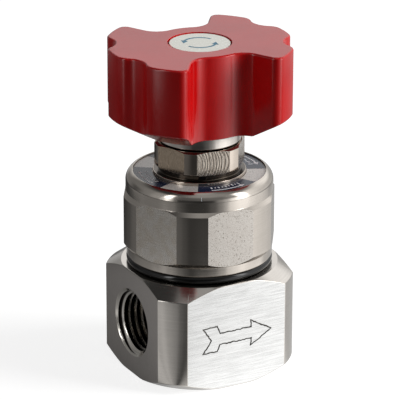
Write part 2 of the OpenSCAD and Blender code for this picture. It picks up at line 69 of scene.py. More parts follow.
# Hub and knob
HUB_Z, HUB_TOP, HUB_R, WEB_Z, HUB_BORE_R, HUB_BOSS_HALF = 49.15, 52.0, 8.52, 60.0, 3.02, 5.5
KNOB_TOP, KNOB_R, MID_LOBE_R, KNOB_TURN, WAIST_R, LOBE_HALF = 69.6, 19.3, 19.15, -5.0, 10.3, 59.3
NOTCH_ANGLE, NOTCH_R, NOTCH_FLOOR, LOBE_ROUND, FLANK_ROUND, WAIST_FILLET = 22.0, 4.2, 17.1, 3.0, 1.7, 4.0
UNDER_R, RIM_RISE, BOSS_HALF = 13.0, 3.6, 5.52
DISC_R, DISC_Z, DISC_TOP, GROOVE_R, DISC_HOLE_R = 6.26, 68.05, 69.45, 6.5, 1.0
SCREW_R, WELL_R, WELL_Z = 2.25, 5.0, 61.6


def deg(a):
    return math.radians(a)


def polar(r, a):
    """The point at a radius and an angle in degrees."""
    return r * math.cos(deg(a)), r * math.sin(deg(a))


def srgb(r, g, b):
    """A colour as the eye sees it, in the renderer's linear values."""
    return tuple((c / 12.92 if c < 0.04045 else ((c + 0.055) / 1.055) ** 2.4) for c in (r, g, b)) + (1.0,)


# Camera, fitted to the photograph's outline

VIEW_TURN, VIEW_TILT, VIEW_ROLL = 28.945, 20.873, 0.156     # degrees
VIEW_REACH, VIEW_SIDE, VIEW_Z = 609.387, 0.133, 35.473
FOCAL_PIXELS, PICTURE_PIXELS, SENSOR = 2962.5, 400, 36


def place_camera():
    turn, tilt, roll = deg(VIEW_TURN), deg(VIEW_TILT), deg(VIEW_ROLL)
    right = Vector((math.cos(turn), -math.sin(turn), 0))
    ahead = Vector((math.sin(turn) * math.cos(tilt), math.cos(turn) * math.cos(tilt), -math.sin(tilt)))
    up = right.cross(ahead)
    place = Vector((0, 0, VIEW_Z)) + right * VIEW_SIDE - ahead * VIEW_REACH
    right, up = right * math.cos(roll) + up * math.sin(roll), up * math.cos(roll) - right * math.sin(roll)
    data = bpy.data.cameras.new("camera")
    data.sensor_width = SENSOR
    data.lens = FOCAL_PIXELS / PICTURE_PIXELS * SENSOR
    data.clip_start, data.clip_end = 0.01, 20
    cam = bpy.data.objects.new("camera", data)
    bpy.context.scene.collection.objects.link(cam)
    rows = Matrix((right, up, -ahead)).transposed().to_4x4()
    cam.matrix_world = Matrix.Translation(place * MM) @ rows
    bpy.context.scene.camera = cam


place_camera()


# Node trees

class Nodes:
    """A node tree with short names for the nodes that the finishes and the studio use."""

    def __init__(self, tree):
        self.tree = tree
        tree.nodes.clear()

    def node(self, kind, **props):
        n = self.tree.nodes.new(kind)
        for key, value in props.items():
            setattr(n, key, value)
        return n

    def join(self, a, b):
        self.tree.links.new(a, b)

    def feed(self, socket, value):
        if hasattr(value, "links"):
            self.join(value, socket)
        else:
            socket.default_value = value

    def fill(self, node, *values):
        """Feeds a node's first inputs in order."""
        for socket, value in zip(node.inputs, values):
            self.feed(socket, value)
        return node

    def vector(self, op, a, b=None, scale=None):
        n = self.fill(self.node("ShaderNodeVectorMath", operation=op), a)
        if b is not None:
            self.feed(n.inputs[1], b)
        if scale is not None:
            self.feed(n.inputs["Scale"], scale)
        return n.outputs["Value"] if op in ("LENGTH", "DOT_PRODUCT") else n.outputs["Vector"]

    def math(self, op, a, b=0.5, c=0.5):
        return self.fill(self.node("ShaderNodeMath", operation=op), a, b, c).outputs[0]

    def add(self, a, b):
        return self.math("ADD", a, b)

    def sub(self, a, b):
        return self.math("SUBTRACT", a, b)

    def mul(self, a, b):
        return self.math("MULTIPLY", a, b)

    def split(self, vec):
        return self.fill(self.node("ShaderNodeSeparateXYZ"), vec).outputs

    def merge(self, x, y, z):
        return self.fill(self.node("ShaderNodeCombineXYZ"), x, y, z).outputs[0]

    def ramp(self, fac, low, high, to_low=0.0, to_high=1.0, kind="SMOOTHSTEP"):
        n = self.node("ShaderNodeMapRange", interpolation_type=kind)
        return self.fill(n, fac, low, high, to_low, to_high).outputs[0]

    def mix(self, fac, a, b):
        n = self.node("ShaderNodeMix", data_type="RGBA")
        for k, value in ((0, fac), (6, a), (7, b)):
            self.feed(n.inputs[k], value)
        return n.outputs[2]

    def shader(self, kind, *values):
        return self.fill(self.node(kind), *values).outputs[0]


class Shader(Nodes):
    """A material on a Principled shader, with the coordinates that its finish follows."""

    def __init__(self, name, color, metallic=0.0, roughness=0.4, **sockets):
        self.mat = bpy.data.materials.new(name)
        self.mat.use_nodes = True
        super().__init__(self.mat.node_tree)
        self.bsdf = self.node("ShaderNodeBsdfPrincipled")
        self.join(self.bsdf.outputs[0], self.node("ShaderNodeOutputMaterial").inputs[0])
        self.color(srgb(*color))
        self.rough(roughness)
        self.bsdf.inputs["Metallic"].default_value = metallic
        for key, value in sockets.items():
            self.bsdf.inputs[key].default_value = value
        self.mm = self.vector("SCALE", self.node("ShaderNodeTexCoord").outputs["Object"], scale=1 / MM)

    def noise(self, vec, scale=1.0, detail=3.0, rough=0.55, distortion=0.0):
        n = self.node("ShaderNodeTexNoise")
        self.join(vec, n.inputs["Vector"])
        for key, value in (("Scale", scale), ("Detail", detail), ("Roughness", rough), ("Distortion", distortion)):
            n.inputs[key].default_value = value
        return n.outputs["Fac"]

    def color(self, value):
        self.feed(self.bsdf.inputs["Base Color"], value)

    def rough(self, value):
        self.feed(self.bsdf.inputs["Roughness"], value)

    def bump(self, height, strength, distance):
        n = self.node("ShaderNodeBump")
        n.inputs["Strength"].default_value = strength
        n.inputs["Distance"].default_value = distance * MM
        self.join(height, n.inputs["Height"])
        self.join(n.outputs[0], self.bsdf.inputs["Normal"])

    def turned(self, fine=9.0):
        """Rings about the valve's axis, as a lathe leaves them."""
        x, y, z = self.split(self.mm)
        r = self.math("SQRT", self.add(self.mul(x, x), self.mul(y, y)))
        return self.merge(self.mul(r, fine), self.mul(self.math("ARCTAN2", y, x), 0.7), self.mul(z, fine))

    def stretched(self, vec, x, y, z):
        return self.vector("MULTIPLY", vec, (x, y, z))


def steel(name, color, low, high, pattern, tint=0.12, bump=0.15, distance=0.006):
    """Stainless steel: a finish along its machining marks, with faint blotches of colour and polish."""
    s = Shader(name, color, metallic=1.0, roughness=(low + high) / 2)
    if pattern == "turned":
        grain = s.noise(s.turned(), 1.0, 4.0, 0.6)
    elif pattern == "brushed":
        grain = s.noise(s.stretched(s.mm, 0.17, 0.17, 6.0), 1.0, 4.0, 0.7, 0.1)
    elif pattern == "upright":
        grain = s.noise(s.stretched(s.mm, 7.0, 7.0, 0.25), 1.0, 4.0, 0.6)
    else:
        grain = s.noise(s.mm, 5.0, 4.0, 0.6)
    cloud = s.noise(s.mm, 0.35, 3.0, 0.5)
    share = 0.1 if pattern == "brushed" else 0.35
    both = s.add(s.mul(grain, 1 - share), s.mul(cloud, share))
    base = srgb(*color)
    dark = tuple(c * (1 - tint) for c in base[:3]) + (1,)
    light = tuple(min(1.0, c * (1 + tint)) for c in base[:3]) + (1,)
    s.color(s.mix(s.ramp(both, 0.36, 0.64), dark, light))
    s.rough(s.ramp(both, 0.3, 0.7, low, high))
    s.bump(grain, bump, distance)
    return s.mat


body_steel = steel("body_steel", (0.79, 0.77, 0.745), 0.12, 0.17, "turned", tint=0.05, bump=0.04)
face_steel = steel("face_steel", (0.87, 0.87, 0.865), 0.20, 0.34, "brushed", tint=0.14, bump=0.4, distance=0.014)
side_steel = steel("side_steel", (0.78, 0.755, 0.735), 0.15, 0.22, "upright", tint=0.04, bump=0.04)
# the arrow groove's walls: dark, rough steel whose darkness is painted shade in the engraved groove
groove_shade_steel = steel("groove_shade_steel", (0.38, 0.365, 0.35), 0.4, 0.6, "plain", tint=0.7, bump=0.5)
nut_steel = steel("nut_steel", (0.79, 0.76, 0.725), 0.08, 0.14, "turned", tint=0.04, bump=0.05)
gland_turned = steel("gland_turned", (0.78, 0.735, 0.69), 0.06, 0.11, "turned", tint=0.04, bump=0.015)
# dark steel for painted shade on the neck under the small hexagon, and a painted dark reflection of it on the
# foot's top
neck_shade_steel = steel("neck_shade_steel", (0.33, 0.30, 0.27), 0.16, 0.26, "turned", tint=0.1)
hub_steel = steel("hub_steel", (0.80, 0.775, 0.75), 0.06, 0.12, "turned", tint=0.04, bump=0.04)
inner_steel = steel("inner_steel", (0.74, 0.74, 0.73), 0.2, 0.34, "turned")
bronze = steel("bronze", (0.80, 0.62, 0.38), 0.22, 0.36, "turned")


def thread_steel():
    """The tapped ports: bright crests and mouth, and thread roots darkened with painted shade."""
    s = Shader("port_steel", (0.76, 0.74, 0.71), metallic=1.0, roughness=0.18)
    x, y, z = s.split(s.mm)
    rise = s.sub(z, PORT_Z)
    reach = s.math("SQRT", s.add(s.mul(y, y), s.mul(rise, rise)))
    fine = s.noise(s.merge(s.mul(x, 5.0), s.mul(reach, 5.0), 0.0), 1.0, 3.0)
    crest = s.mix(s.ramp(fine, 0.35, 0.65), srgb(0.80, 0.78, 0.75), srgb(0.90, 0.88, 0.85))
    cone = s.add(reach, s.sub(BODY_HALF, s.math("ABSOLUTE", x)))
    # deep masks the thread roots inside the countersunk mouth; the dark colour there is painted shade
    deep = s.mul(s.ramp(reach, THREAD_CREST + 0.25, THREAD_CREST + 0.5),
                 s.ramp(cone, PORT_MOUTH_R + 0.04, PORT_MOUTH_R + 0.12))
    s.color(s.mix(deep, crest, srgb(0.10, 0.09, 0.08)))
    s.rough(s.ramp(fine, 0.3, 0.7, 0.14, 0.24))
    s.bump(fine, 0.04, 0.01)
    return s.mat


port_steel = thread_steel()


def speckled_steel():
    """The nut's flats: a fine blasted grain with small dark pits, worn smooth on one flat."""
    s = Shader("nut_flat_steel", (0.80, 0.78, 0.75), metallic=1.0, roughness=0.36)
    side = s.vector("DOT_PRODUCT", s.mm, (*polar(1, NUT_TURN + 210), 0))
    depth = s.ramp(side, NUT_HALF - 0.6, NUT_HALF - 0.1, 1.0, 0.2)
    grain = s.noise(s.mm, 6.0, 5.0, 0.7)
    pits = s.ramp(s.noise(s.vector("ADD", s.mm, (7.0, 3.0, 5.0)), 3.4, 3.0, 0.6), 0.585, 0.64)
    cloud = s.noise(s.mm, 0.5, 3.0, 0.5)
    lit = s.mix(s.ramp(grain, 0.35, 0.65), srgb(0.765, 0.74, 0.71), srgb(0.845, 0.825, 0.80))
    lit = s.mix(s.ramp(cloud, 0.35, 0.7, 0.0, 0.35), lit, srgb(0.77, 0.74, 0.71))
    lit = s.mix(depth, s.mix(s.ramp(cloud, 0.35, 0.65), srgb(0.78, 0.745, 0.70), srgb(0.82, 0.80, 0.775)), lit)
    pits = s.mul(pits, depth)
    s.color(s.mix(s.mul(pits, 0.7), lit, srgb(0.46, 0.42, 0.38)))
    s.rough(s.ramp(grain, 0.3, 0.7, 0.22, 0.34))
    s.bump(s.mul(s.sub(grain, s.mul(pits, 0.8)), depth), 0.2, 0.012)
    return s.mat


def milled_steel():
    """The small hexagon's flats: wavy marks of a milling cutter, all but gone from one flat."""
    s = Shader("gland_flat_steel", (0.76, 0.72, 0.67), metallic=1.0, roughness=0.2)
    side = s.vector("DOT_PRODUCT", s.mm, (*polar(1, GLAND_TURN + 210), 0))
    depth = s.ramp(side, GLAND_HALF - 0.6, GLAND_HALF - 0.1, 1.0, 0.12)
    x, y, z = s.split(s.mm)
    rise = s.sub(z, (NECK_TOP + GLAND_TOP) / 2)
    bow = s.mul(s.mul(rise, rise), 0.11)
    lean = s.vector("ADD", s.mm, s.merge(bow, bow, 0.0))
    along = s.math("MULTIPLY_ADD", s.math("ARCTAN2", y, x), GLAND_R, bow)
    sway = s.noise(s.stretched(lean, 0.9, 0.9, 0.15), 1.0, 2.0, 0.5)
    wave = s.math("SINE", s.math("MULTIPLY_ADD", sway, 9.0, s.mul(along, 2 * math.pi / 0.66)))
    streaks = s.noise(s.stretched(lean, 2.2, 2.2, 0.12), 1.0, 2.0, 0.6, 0.3)
    marks = s.add(s.math("MULTIPLY_ADD", wave, 0.09, 0.25), s.mul(streaks, 0.5))
    fine = s.noise(s.stretched(lean, 6.0, 6.0, 0.3), 1.0, 3.0, 0.6)
    both = s.add(s.mul(marks, 0.75), s.mul(fine, 0.25))
    lit = s.mix(s.ramp(both, 0.36, 0.62), srgb(0.62, 0.57, 0.52), srgb(0.86, 0.82, 0.77))
    worn = s.mix(s.ramp(fine, 0.35, 0.65), srgb(0.74, 0.66, 0.57), srgb(0.86, 0.78, 0.69))
    s.color(s.mix(depth, worn, lit))
    s.rough(s.ramp(both, 0.3, 0.7, 0.14, 0.24))
    s.bump(s.mul(both, depth), 0.7, 0.16)
    return s.mat


nut_flat_steel = speckled_steel()
gland_flat_steel = milled_steel()


def rubber_finish():
    s = Shader("black_rubber", (0.03, 0.03, 0.03), roughness=0.06, IOR=1.5)
    fine = s.noise(s.mm, 9.0, 3.0, 0.6)
    s.color(s.mix(s.ramp(fine, 0.35, 0.7), srgb(0.02, 0.02, 0.02), srgb(0.05, 0.045, 0.04)))
    s.rough(s.ramp(s.noise(s.turned(2.0), 1.0, 3.0), 0.3, 0.7, 0.04, 0.07))
    s.bump(fine, 0.03, 0.004)
    return s.mat


def plastic_finish():
    """Moulded red plastic: deep gloss with a faint orange-peel surface and flow clouds."""
    s = Shader("red_plastic", (0.78, 0.045, 0.055), roughness=0.14, IOR=1.5)
    cloud = s.noise(s.mm, 0.09, 3.0, 0.5)
    fine = s.noise(s.mm, 0.9, 2.0, 0.4)
    s.color(s.mix(s.ramp(cloud, 0.3, 0.7), srgb(0.75, 0.035, 0.045), srgb(0.80, 0.055, 0.06)))
    s.rough(s.ramp(fine, 0.3, 0.7, 0.12, 0.17))
    s.bump(fine, 0.006, 0.003)
    return s.mat


def disc_finish():
    s = Shader("disc_plastic", (0.985, 0.985, 0.94), roughness=0.24, IOR=1.7)
    fine = s.noise(s.mm, 3.0, 3.0, 0.5)
    s.color(s.mix(s.ramp(fine, 0.3, 0.7), srgb(0.98, 0.98, 0.93), srgb(0.99, 0.99, 0.95)))
    s.rough(s.ramp(fine, 0.3, 0.7, 0.2, 0.28))
    s.bump(fine, 0.05, 0.02)
    return s.mat


def print_finish(name, low, high, roughness, **sockets):
    """A printed film: fine dots of ink over its colour."""
    s = Shader(name, high, roughness=roughness, IOR=1.4, **sockets)
    ink = s.noise(s.mm, 4.0, 4.0, 0.65)
    s.color(s.mix(s.ramp(ink, 0.3, 0.7), srgb(*low), srgb(*high)))
    s.rough(s.ramp(ink, 0.3, 0.7, roughness * 0.85, roughness * 1.15))
    s.bump(ink, 0.08, 0.01)
    return s.mat


black_rubber = rubber_finish()
red_plastic = plastic_finish()
disc_plastic = disc_finish()
label_blue = print_finish("label_blue", (0.075, 0.11, 0.20), (0.11, 0.155, 0.27), 0.22)
label_white = print_finish("label_white", (0.80, 0.82, 0.84), (0.88, 0.89, 0.90), 0.4)
disc_print = print_finish("disc_print", (0.10, 0.42, 0.55), (0.14, 0.50, 0.62), 0.35)
seat_plastic = print_finish("seat_plastic", (0.86, 0.86, 0.82), (0.91, 0.91, 0.87), 0.5)
screw_steel = steel("screw_steel", (0.30, 0.30, 0.31), 0.3, 0.45, "plain", tint=0.2)
label_silver = print_finish("label_silver", (0.75, 0.74, 0.725), (0.81, 0.80, 0.785), 0.3, Metallic=0.25)


# Mesh helpers

def piece(name, verts, faces, tags, mats, body=None, slot=None, nodes=(), sharp=30.0, merge=2e-4):
    """An object from points in millimetres. With a body it rides on that body and stands for the CAD nodes."""
    bm = bmesh.new()
    points = [bm.verts.new([c * MM for c in v]) for v in verts]
    for face, tag in zip(faces, tags):
        if len(set(face)) < 3:
            continue
        try:
            bm.faces.new([points[k] for k in face]).material_index = tag
        except ValueError:
            pass
    bmesh.ops.remove_doubles(bm, verts=bm.verts, dist=merge * MM)
    bmesh.ops.dissolve_degenerate(bm, edges=bm.edges, dist=merge * MM / 4)
    bmesh.ops.recalc_face_normals(bm, faces=bm.faces)
    mesh = bpy.data.meshes.new(name)
    bm.to_mesh(mesh)
    bm.free()
    for mat in mats:
        mesh.materials.append(mat)
    obj = bpy.data.objects.new(name, mesh)
    bpy.context.scene.collection.objects.link(obj)
    if body:
        dress(obj, body, slot, nodes, sharp)
    return obj


def dress(obj, body, slot, nodes=(), sharp=30.0):
    mesh = obj.data
    mesh.polygons.foreach_set("use_smooth", [True] * len(mesh.polygons))
    mesh.set_sharp_from_angle(angle=deg(sharp))
    obj.modifiers.new("normals", "WEIGHTED_NORMAL").keep_sharp = True
    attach(obj, body)
    if nodes:
        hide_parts(*nodes)


def fillet(points, closed=True):
    """Turns corners (x, y, radius, steps) into arcs of steps + 1 points each."""
    out, n = [], len(points)
    for i, (x, y, radius, steps) in enumerate(points):
        if not radius or (not closed and i in (0, n - 1)):
            out += [(x, y)] * (steps + 1 if radius else 1)
            continue
        here = Vector((x, y))
        a, b = Vector(points[i - 1][:2]) - here, Vector(points[(i + 1) % n][:2]) - here
        if a.length < 1e-5 or b.length < 1e-5 or a.angle(b) > math.pi - 1e-3:
            out += [(x, y)] * (steps + 1)
            continue
        half = a.angle(b) / 2
        reach = min(radius / math.tan(half), 0.48 * a.length, 0.48 * b.length)
        a.normalize()
        b.normalize()
        centre = here + (a + b).normalized() * (reach / math.cos(half))
        s, e = here + a * reach - centre, here + b * reach - centre
        w = s.angle(e)
        for k in range(steps + 1):
            t = k / steps
            p = centre + (s * math.sin((1 - t) * w) + e * math.sin(t * w)) / math.sin(w)
            out.append((p.x, p.y))
    return out


def loft(angles, profile, tag=lambda i, k: 0, capped=False):
    """Faces through the profile (radius, height) at each angle, all the way round."""
    cols = [profile(i, a) for i, a in enumerate(angles)]
    n, m = len(cols[0]), len(angles)
    verts = [(*polar(r, a), z) for a, col in zip(angles, cols) for r, z in col]
    faces, tags = [], []
    for i in range(m):
        j = (i + 1) % m
        for k in range(n - 1 if capped else n):
            l = (k + 1) % n
            faces.append((i * n + k, j * n + k, j * n + l, i * n + l))
            tags.append(tag(i, k))
    if capped:
        for k in (0, n - 1):
            faces.append([i * n + k for i in range(m)])
            tags.append(tag(0, min(k, n - 2)))
    return verts, faces, tags


def around(count, start=0.0):
    return [start + 360.0 * i / count for i in range(count)]


def lathe(name, corners, mat, body, slot, nodes, capped=False):
    """A turned piece from corners (radius, height, rounding, steps)."""
    path = fillet(corners, closed=not capped)
    piece(name, *loft(around(144), lambda i, a: path, capped=capped), [mat], body, slot, nodes)


def hexed(half, round_r, turn, per_flat, per_corner=7):
    """Angles and wall radii of a hexagon with turned corners, and whether each span is a flat."""
    edge = math.degrees(math.acos(half / round_r))
    angles, walls, flat = [], [], []
    for side in range(6):
        mid = turn + 30 + 60 * side
        for k in range(per_flat):
            x = math.tan(deg(edge)) * (2 * k / per_flat - 1)
            angles.append(mid + math.degrees(math.atan(x)))
            walls.append(half * math.hypot(1, x))
            flat.append(True)
        for k in range(per_corner):
            angles.append(mid + edge + (60 - 2 * edge) * k / per_corner)
            walls.append(round_r)
            flat.append(False)
    return angles, walls, flat


def subtract(obj, cutters):
    """Cuts closed solids out of a piece for good."""
    for cutter in cutters:
        mod = obj.modifiers.new("cut", "BOOLEAN")
        mod.object = cutter
        mod.operation = "DIFFERENCE"
        mod.solver = "EXACT"
        mod.material_mode = "INDEX"
        bpy.context.view_layer.update()
        done = bpy.data.meshes.new_from_object(obj.evaluated_get(bpy.context.evaluated_depsgraph_get()))
        obj.modifiers.clear()
        old, obj.data = obj.data, done
        bpy.data.meshes.remove(old)
        tool = cutter.data
        bpy.data.objects.remove(cutter)
        bpy.data.meshes.remove(tool)


# Body

BODY_MATS = [body_steel, face_steel, side_steel, port_steel, groove_shade_steel]
TURNED, FACE, SIDE, PORT, GROOVE_SHADE = range(5)


def cutter(name, verts, faces, tag, merge=2e-4):
    """A closed solid to cut out of the body, which leaves walls of the tagged material."""
    return piece(name, verts, faces, [tag] * len(faces), BODY_MATS, merge=merge)


def plug(name, place, crest, root, pitch, mouth, depth, taper=0.0):
    """The shape of a countersunk tapped hole. place turns (x, y, depth) into the frame."""
    steps, cols, fade = (0.0, 0.07, 0.18, 0.30, 0.43, 0.57, 0.70, 0.82, 0.93), 96, 1.2
    rows = [(n + s) * pitch for n in range(-2, int(depth / pitch) + 2) for s in steps]
    m = len(steps)

    def radius(turn, t):
        u = (t / pitch - turn) % 1.0
        form = min(max((1 - 2 * abs(u - 0.5) - 0.14) / 0.72, 0.0), 1.0)
        form *= min(max((depth - t) / fade, 0.0), 1.0)
        wall = crest - taper * max(t, 0.0) + (root - crest) * form
        return max(wall, mouth - t)

    verts = []
    for i in range(cols):
        turn = i / cols
        for t in rows:
            d = min(max(t + pitch * turn, -0.6), depth)
            r = radius(turn, d)
            verts.append(place(r * math.cos(2 * math.pi * turn), r * math.sin(2 * math.pi * turn), d))
    n = len(rows)
    faces = []
    for i in range(cols):
        j = (i + 1) % cols
        shift = m if j == 0 else 0
        for k in range(n - 1 - shift):
            faces.append((i * n + k, j * n + k + shift, j * n + k + 1 + shift, i * n + k + 1))
    # the ends, which also hold the rows that the shift at the seam leaves over
    faces += [[i * n + k for i in range(cols)] for k in (0, n - 1)]
    return cutter(name, verts, faces, PORT, merge=5e-4)


def arrow_groove():
    """The flow arrow's outline as a hand-guided engraver cuts it, in the front face."""
    rng, step = random.Random(11), 0.42
    corners = [(-7.8, 14.0), (-4.55, 14.1), (-3.85, 12.45), (3.4, 12.45), (3.3, 14.0), (8.1, 11.2),
               (3.3, 8.4), (3.45, 9.95), (-3.9, 10.0), (-4.5, 8.55), (-7.8, 8.6), (-5.9, 11.2)]
    loop = []
    for k, p in enumerate(corners):
        a, b = Vector(p), Vector(corners[(k + 1) % len(corners)])
        n = max(3, round((b - a).length / step))
        side = (b - a).normalized().orthogonal()
        for i in range(n):
            # the points next to a corner stay in line, so that the groove never crosses itself there
            shake = rng.uniform(-0.1, 0.1) if 1 < i < n - 1 else 0.0
            loop.append(a.lerp(b, i / n) + side * shake)
    n, deep, half = len(loop), 0.14, 0.2
    verts, faces = [], []
    for k, p in enumerate(loop):
        a, b = (p - loop[k - 1]).normalized(), (loop[(k + 1) % n] - p).normalized()
        out = (a.orthogonal() + b.orthogonal()).normalized()
        w = half * rng.uniform(0.8, 1.2) / max(out.dot(a.orthogonal()), 0.5)
        for side, y, s in ((1, -0.3, 1.0), (-1, -0.3, 1.0), (-1, deep, 0.55), (1, deep, 0.55)):
            q = p + out * side * w * s
            verts.append((q.x, -BODY_HALF + y, q.y))
    for k in range(n):
        l = (k + 1) % n
        for c in range(4):
            d = (c + 1) % 4
            faces.append((4 * k + c, 4 * l + c, 4 * l + d, 4 * k + d))
    # the groove's walls take the dark steel that paints the shade in the groove
    return cutter("groove", verts, faces, GROOVE_SHADE, merge=1e-5)


def rod_cut(name, start, end, r, count=48):
    """A round bar between two points."""
    a, b = Vector(start), Vector(end)
    turn = (b - a).to_track_quat("Z", "Y")
    spokes = [2 * math.pi * i / count for i in range(count)]
    verts = [tuple(p + turn @ Vector((r * math.cos(t), r * math.sin(t), 0))) for p in (a, b) for t in spokes]
    faces = [(i, (i + 1) % count, count + (i + 1) % count, count + i) for i in range(count)]
    faces += [list(range(count)), list(range(count, 2 * count))]
    return cutter(name, verts, faces, PORT)


def make_body():
    ease, soft = 0.28, 0.22          # rounding of the upright edges and of the turned edges
    flat_end = math.sqrt((CORNER_R - ease) ** 2 - (BODY_HALF - ease) ** 2)
    tip = math.degrees(math.atan2(flat_end, BODY_HALF - ease))

    def bend(x, y, r, start, end, steps):
        """Points of a turned corner about a centre, without the last one."""
        arms = [polar(r, start + (end - start) * k / steps) for k in range(steps)]
        return [(x + dx, y + dy, TURNED) for dx, dy in arms]

    angles, walls, kinds = [], [], []
    for side in range(4):
        wall_kind = SIDE if side in (0, 2) else FACE
        points = bend(BODY_HALF - ease, -flat_end, ease, -tip, 0, 3)
        points += [(BODY_HALF, flat_end * (2 * k / 20 - 1), wall_kind) for k in range(20)]
        points += bend(BODY_HALF - ease, flat_end, ease, 0, tip, 3) + bend(0, 0, CORNER_R, tip, 90 - tip, 8)
        for x, y, kind in points:
            angles.append(math.degrees(math.atan2(y, x)) + 90 * side)
            walls.append(math.hypot(x, y))
            kinds.append(kind)
    run, rise = CORNER_R - FACE_R, CHAMFER_H
    length = math.hypot(run, rise)
    nr, nz = rise / length, run / length
    lean = math.atan2(nz, nr)

    def edge(wall):
        """The rounded edge between the underside, the turned chamfer and the wall, with z up from the face."""
        offset = nr * FACE_R - soft
        a = ((offset + nz * soft) / nr, soft)
        b = (wall - soft, (nr * (wall - soft) - offset) / nz)
        if b[1] <= soft:
            a = b = (wall - soft, soft)
        arc = [(a[0] + soft * math.cos(t), a[1] - soft * math.sin(t))
               for t in (math.pi / 2 + (lean - math.pi / 2) * k / 3 for k in range(4))]
        return arc + [(b[0] + soft * math.cos(t), b[1] - soft * math.sin(t))
                      for t in (lean * (1 - k / 3) for k in range(4))]

    hollow = fillet([(BOSS_R, BODY_H, 0, 0), (BOSS_R, BOSS_TOP, 0.3, 2), (POCKET_R, BOSS_TOP, 0.2, 2),
                     (POCKET_R, LEDGE_Z, 0, 0), (BOWL_R, LEDGE_Z, 0, 0), (BOWL_R, BOWL_Z, 0, 0),
                     (SEAT_R, BOWL_Z, 0, 0), (SEAT_R, SEAT_Z, 0, 0), (CHAMBER_R, SEAT_Z, 0, 0),
                     (CHAMBER_R, FLOOR_Z, 0, 0)], closed=False)

    def profile(i, a):
        low = edge(walls[i])
        return [(3.0, 0.0)] + low + [(r, BODY_H - z) for r, z in reversed(low)] + hollow

    wall_row = 8                     # the row from the lower edge's last point to the upper edge's first
    parts = loft(angles, profile, lambda i, k: kinds[i] if k == wall_row else TURNED, capped=True)
    obj = piece("valve_body_block", *parts, BODY_MATS)
    port = dict(crest=THREAD_CREST, root=THREAD_ROOT, pitch=1.411, mouth=PORT_MOUTH_R, depth=BODY_HALF - PORT_END,
                taper=0.02)
    screw = dict(crest=2.1, root=2.5, pitch=0.8, mouth=2.75, depth=7.0)
    subtract(obj, [
        plug("inlet_cut", lambda x, y, d: (-BODY_HALF + d, x, PORT_Z + y), **port),
        plug("outlet_cut", lambda x, y, d: (BODY_HALF - d, y, PORT_Z + x), **port),
        rod_cut("inlet_hole", (-PORT_END - 0.5, 0, PORT_Z), (-1, 0, PORT_Z), INLET_HOLE_R),
        rod_cut("outlet_hole", (OUTLET_HOLE_X, 0, PORT_Z), (OUTLET_HOLE_X, 0, BOWL_Z + 0.5), OUTLET_HOLE_R),
        plug("base_cut_a", lambda x, y, d: (x, BASE_HOLE_Y + y, d), **screw),
        plug("base_cut_b", lambda x, y, d: (x, -BASE_HOLE_Y + y, d), **screw),
        arrow_groove()])
    dress(obj, "valve_body", "body_steel", ["body"], sharp=28)


make_body()


# Seal ring, bonnet nut and label

def make_seal():
    flat = math.degrees(math.asin(SEAL_HALF / SEAL_SECTION_R))
    sides = [polar(SEAL_SECTION_R, start + 2 * flat * k / 12) for start in (-flat, 180 - flat) for k in range(13)]
    path = [(SEAL_MID_R + x, NUT_Z - SEAL_HALF + z) for x, z in sides]
    parts = loft(around(160), lambda i, a: path)
    piece("seal_ring", *parts, [black_rubber], "valve_body", "black_rubber", ["body_seal_ring"], sharp=40)


def make_nut():
    angles, walls, flat = hexed(NUT_HALF, NUT_R, NUT_TURN, 14)
    low_step, high_step = FLAT_Z + RUN_IN, DOME_Z - RUN_IN
    rise, slope = (NUT_R - COLLAR_R) / (LIP_Z - FLAT_Z), (NUT_R - DOME_R) / (DOME_Z - FLAT_TOP)
    rim_r, bore_r = LABEL_R + FIT_GAP, BOSS_R + FIT_GAP
    sweep = math.acos((rim_r - DOME_R + DOME_ROUND) / DOME_ROUND)
    dome = [(DOME_R - DOME_ROUND * (1 - math.cos(sweep * k / 12)),
             DOME_TOP - DOME_ROUND * (1 - math.sin(sweep * k / 12)), 0, 0) for k in range(12)]
    rim = (rim_r, DOME_TOP - DOME_ROUND * (1 - math.sin(sweep)), 0.06, 2)

    def profile(i, a):
        w = walls[i]
        lip = COLLAR_R + rise * (low_step - FLAT_Z)
        brow = NUT_R - slope * (high_step - FLAT_TOP)
        low = ((lip, low_step), (w, low_step)) if w < lip else ((w, FLAT_Z + (w - COLLAR_R) / rise),) * 2
        high = ((w, high_step), (brow, high_step)) if w < brow else ((w, FLAT_TOP + (NUT_R - w) / slope),) * 2
        return fillet([
            (bore_r, NUT_Z, 0, 0), (COLLAR_R, NUT_Z, 0.22, 2), (COLLAR_R, FLAT_Z, 0.05, 1),
            low[0] + (0.05, 1), low[1] + (0.05, 1), high[0] + (0.06, 1), high[1] + (0.07, 2),
            (DOME_R, DOME_Z, 0.12, 2)] + dome + [
            rim, (rim_r, DECK_Z, 0, 0), (NUT_BORE_R, DECK_Z, 0, 0), (NUT_BORE_R, NUT_SHOULDER_Z, 0, 0),
            (bore_r, NUT_SHOULDER_Z, 0, 0)])

    wall_row = 9                     # the profile's row between the roundings of the wall's lower and upper corner
    parts = loft(angles, profile, lambda i, k: 1 if flat[i] and abs(k - wall_row) <= 1 else 0)
    piece("bonnet_nut_turned", *parts, [nut_steel, nut_flat_steel], "valve_body", "nut_steel", ["bonnet_nut"],
          sharp=13)


def triangles(loops, chains=()):
    """Points and triangles of a flat region: its outline, holes in it, and open chains that the net follows."""
    pts, edges = [], []
    for loop in loops:
        first = len(pts)
        pts += [Vector(p) for p in loop]
        edges += [(first + k, first + (k + 1) % len(loop)) for k in range(len(loop))]
    for chain in chains:
        first = len(pts)
        pts += [Vector(p) for p in chain]
        edges += [(first + k, first + k + 1) for k in range(len(chain) - 1)]
    out, _, tris, _, _, _ = delaunay_2d_cdt(pts, edges, [], 0, 1e-6)
    keep = []
    for t in tris:
        c = sum((out[k] for k in t), Vector((0, 0))) / 3
        if inside(c, loops[0]) and not any(inside(c, h) for h in loops[1:]):
            keep.append(tuple(t))
    return out, keep


